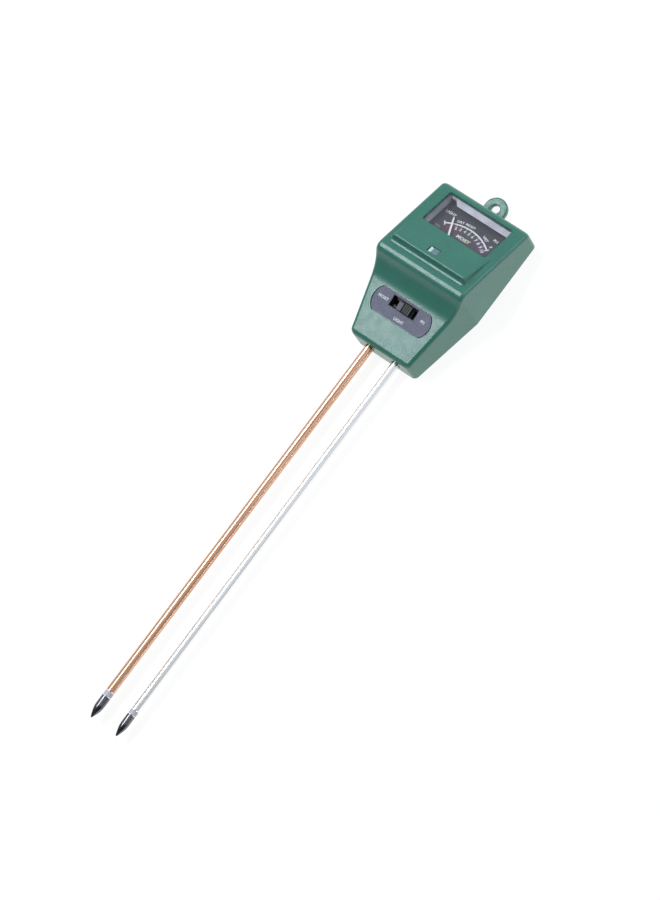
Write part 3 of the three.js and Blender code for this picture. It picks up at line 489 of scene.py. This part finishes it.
def dial_printing():
    """The scale: an arc with end ticks, digits under it, and words over and under it."""
    ink = printing_ink("dial_ink", color(0.93, 0.92, 0.95))
    scale = Print("dial_print", dial_plane, ink, "white_plastic", lift=3 * INK)
    arc_radius, line = 19.75, 0.75
    first, last = -36, 38.5
    scale.arc(arc_radius - line / 2, arc_radius + line / 2, first, last)
    end_tick_reach, end_tick_width = 1.1, 0.6
    for angle in (first, last):
        scale.tick(arc_radius - end_tick_reach, arc_radius + end_tick_reach, angle, end_tick_width)

    digit_tick_reach, digit_tick_width = 0.9, 0.3
    first_digit, digit_pitch = -26.5, 7.2
    digit_radius, digit_height = 17.5, 1.45
    for digit in range(1, 11):
        angle = digit_pitch * (digit - 1) + first_digit
        scale.tick(arc_radius - digit_tick_reach, arc_radius, angle, digit_tick_width)
        x, y = around(digit_radius, angle)
        scale.text(str(digit), digit_height, x, y, angle, weight=0.06)

    word_height = 1.2
    along_arc = (("DRY", 21.5, -17), ("MOIST", 21.5, -4), ("WET", 21.5, 21.5), ("8", 21.9, 35))
    for words, radius, angle in along_arc:
        x, y = around(radius, angle)
        scale.text(words, word_height, x, y, angle, weight=0.05)
    in_corners = (("LIGHT", 1.35, -12.9, 21.9, 0.07), ("PH", 1.4, 12.2, 21.8, 0.06))
    for words, height, x, y, weight in in_corners:
        scale.text(words, height, x, y, weight=weight)
    scale.finish()

    title = Print("dial_title", dial_plane, title_ink(), "white_plastic", lift=3 * INK)
    title.text("MOIST", height=1.6, x=0.6, y=13.6, weight=0.1, stretch=1.05)
    title.finish()

    faint_ink = printing_ink("faint_ink", color(0.3, 0.3, 0.34))
    faint = Print("dial_small_print", dial_plane, faint_ink, "dial_paint")
    faint.text("SOIL", height=1.0, x=-13, y=12.8, weight=0.02)
    faint.finish()


def dial_zones():
    """The coloured bands behind the digits: dry, moist and wet."""
    inner, outer = 16.3, 18.9
    zones = (
        ("dry", color(0.15, 0.045, 0.06), -34, -9),
        ("moist", color(0.05, 0.065, 0.05), -9, 15),
        ("wet", color(0.12, 0.05, 0.11), 15, 38.5),
    )
    for name, base, start, end in zones:
        band = Print(f"dial_zone_{name}", dial_plane, printing_ink(f"zone_{name}", base), "dial_paint")
        band.arc(inner, outer, start, end, pieces=16)
        band.finish()


def label_printing():
    """What the switch's three places read, left, middle and right."""
    ink = printing_ink("label_ink", color(0.85, 0.85, 0.92))
    words = Print("label_print", label_plane, ink, "white_plastic")
    for place, x, y in (("MOIST", -10.8, 1.2), ("LIGHT", 1.1, -4), ("PH", 11.1, 1.2)):
        words.text(place, height=1.3, x=x, y=y, weight=0.06)
    words.finish()


def slot_liner():
    """Thin black sheets along the slot's walls: painted shade, where the walls lie in shadow round the switch."""
    half_width, half_height = 13.8 / 2, 5.2 / 2  # of the hole in the panel
    sheet_thickness = 0.12
    depth = 1.9  # from the label's face down into the slot
    knob_low, knob_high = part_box("switch_knob")
    knob_middle = label_plane.inverted() @ ((knob_low + knob_high) / 2)
    low, high = knob_middle.y - half_height, knob_middle.y + half_height
    # The black sheets are painted shade, standing in for the shadow inside the slot.
    shade_sheets = Print("slot_liner", label_plane, materials["black_plastic"], "black_plastic")

    def bar(left, bottom, right, top):
        shade_sheets.slab([(left, bottom), (right, bottom), (right, top), (left, top)], -depth, -sheet_thickness)

    bar(-half_width, low, sheet_thickness - half_width, high)
    bar(half_width - sheet_thickness, low, half_width, high)
    bar(sheet_thickness - half_width, low, half_width - sheet_thickness, low + sheet_thickness)
    bar(sheet_thickness - half_width, high - sheet_thickness, half_width - sheet_thickness, high)
    shade_sheets.finish()


dial_printing()
dial_zones()
label_printing()
slot_liner()


# ---- Floor, light and camera ----
def floor():
    """A white light table: its own glow keeps the shadows on it faint."""
    shader = Shader("pale_floor", Roughness=0.8, Emission_Color=WHITE, Emission_Strength=0.9)
    grain = shader.spread(shader.noise(size_mm=30, detail=3), 0, 1)
    shader.set("Base Color", shader.mix(grain, color(0.14, 0.14, 0.14), color(0.16, 0.16, 0.16)))
    half = 4.0  # metres, so that its edges are far outside the photo's view
    height = cad_low.z - 0.05 * MM  # just clear of the part, so that no two faces lie in one plane
    mesh = bpy.data.meshes.new("floor")
    corners = [(-half, -half), (half, -half), (half, half), (-half, half)]
    mesh.from_pydata([(x, y, height) for x, y in corners], [], [[0, 1, 2, 3]])
    mesh.materials.append(shader.material)
    made = bpy.data.objects.new("floor", mesh)
    bpy.context.scene.collection.objects.link(made)


def softbox(name, direction, distance, width, height, brightness):
    """A light aimed at the head, its height as near to Y as its direction lets it be.

    Its brightness is about what a white card at the head, facing it, would show.
    """
    light = bpy.data.lights.new(name, "AREA")
    light.shape = "RECTANGLE"
    light.size, light.size_y = width, height
    light.energy = brightness * math.pi**2 * distance**2
    light.color = DAYLIGHT[:3]
    lamp = bpy.data.objects.new(name, light)
    toward = Vector(direction).normalized()
    lamp.location = head_middle + toward * distance
    across = Vector((0, 1, 0)).cross(toward).normalized()
    lamp.rotation_mode = "QUATERNION"
    lamp.rotation_quaternion = Matrix((across, toward.cross(across), toward)).transposed().to_quaternion()
    bpy.context.scene.collection.objects.link(lamp)


def surroundings():
    """A pale room: bright overhead and beyond the ring, dim beyond the probes and near the horizon."""
    world = bpy.data.worlds.new("room")
    bpy.context.scene.world = world
    world.use_nodes = True
    tree = world.node_tree
    place = tree.nodes.new("ShaderNodeTexCoord")
    split = tree.nodes.new("ShaderNodeSeparateXYZ")
    tree.links.new(place.outputs["Generated"], split.inputs["Vector"])

    def ramp(axis, stops):
        """Greys along a direction's axis, with a stop for each value from -1 to 1."""
        share = tree.nodes.new("ShaderNodeMapRange")
        share.inputs["From Min"].default_value = -1
        tree.links.new(split.outputs[axis], share.inputs["Value"])
        shade = tree.nodes.new("ShaderNodeValToRGB")
        tree.links.new(share.outputs["Result"], shade.inputs["Fac"])
        elements = shade.color_ramp.elements
        while len(elements) < len(stops):
            elements.new(0.5)
        for element, (value, grey) in zip(elements, stops):
            element.position = (value + 1) / 2
            element.color = color(grey, grey, grey)
        return shade.outputs["Color"]

    product = tree.nodes.new("ShaderNodeMath")
    product.operation = "MULTIPLY"
    beyond_probes = ((-1, 0.28), (-0.75, 0.16), (-0.5, 0.03), (-0.04, 0.03))
    overhead = ((0.02, 0.95), (0.2, 0.95))
    beyond_ring = ((0.3, 0.4), (1, 0.75))
    along = ramp("Y", beyond_probes + overhead + beyond_ring)
    upward = ramp("Z", ((-1, 0.1), (0.02, 0.4), (0.2, 0.9), (0.5, 1)))
    tree.links.new(along, product.inputs[0])
    tree.links.new(upward, product.inputs[1])
    tree.links.new(product.outputs["Value"], tree.nodes["Background"].inputs["Strength"])
    tree.nodes["Background"].inputs["Color"].default_value = DAYLIGHT


def camera():
    """Looks down the head from its right, far off, with a long lens, as fitted to the photo."""
    azimuth, elevation, roll = (math.radians(angle) for angle in (75.6, 65.43, -39.9))
    distance, lens = 1.5, 139.4
    off_middle = Vector((7.7, 9.4, -7.1)) * MM  # from the part's middle to the picture's
    aim = (cad_low + cad_high) / 2 + off_middle
    back = Vector(
        (
            math.sin(azimuth) * math.cos(elevation),
            -math.cos(azimuth) * math.cos(elevation),
            math.sin(elevation),
        )
    )
    data = bpy.data.cameras.new("camera")
    data.lens = lens
    data.clip_start, data.clip_end = 0.1, 20
    made = bpy.data.objects.new("camera", data)
    made.rotation_mode = "QUATERNION"
    turn = Matrix.Rotation(roll, 3, "Z").to_quaternion()
    made.rotation_quaternion = (-back).to_track_quat("-Z", "Y") @ turn
    made.location = aim + back * distance
    bpy.context.scene.collection.objects.link(made)
    bpy.context.scene.camera = made


head_low, head_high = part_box("front_shell")
head_middle = (head_low + head_high) / 2
floor()
surroundings()
softbox("key", (0.55, 0.65, 0.5), distance=1.2, width=0.6, height=0.6, brightness=0.18)
softbox("overhead", (-0.41, -0.08, 0.88), distance=1.0, width=0.16, height=0.74, brightness=0.62)
camera()
bpy.context.scene.view_settings.view_transform = "Standard"
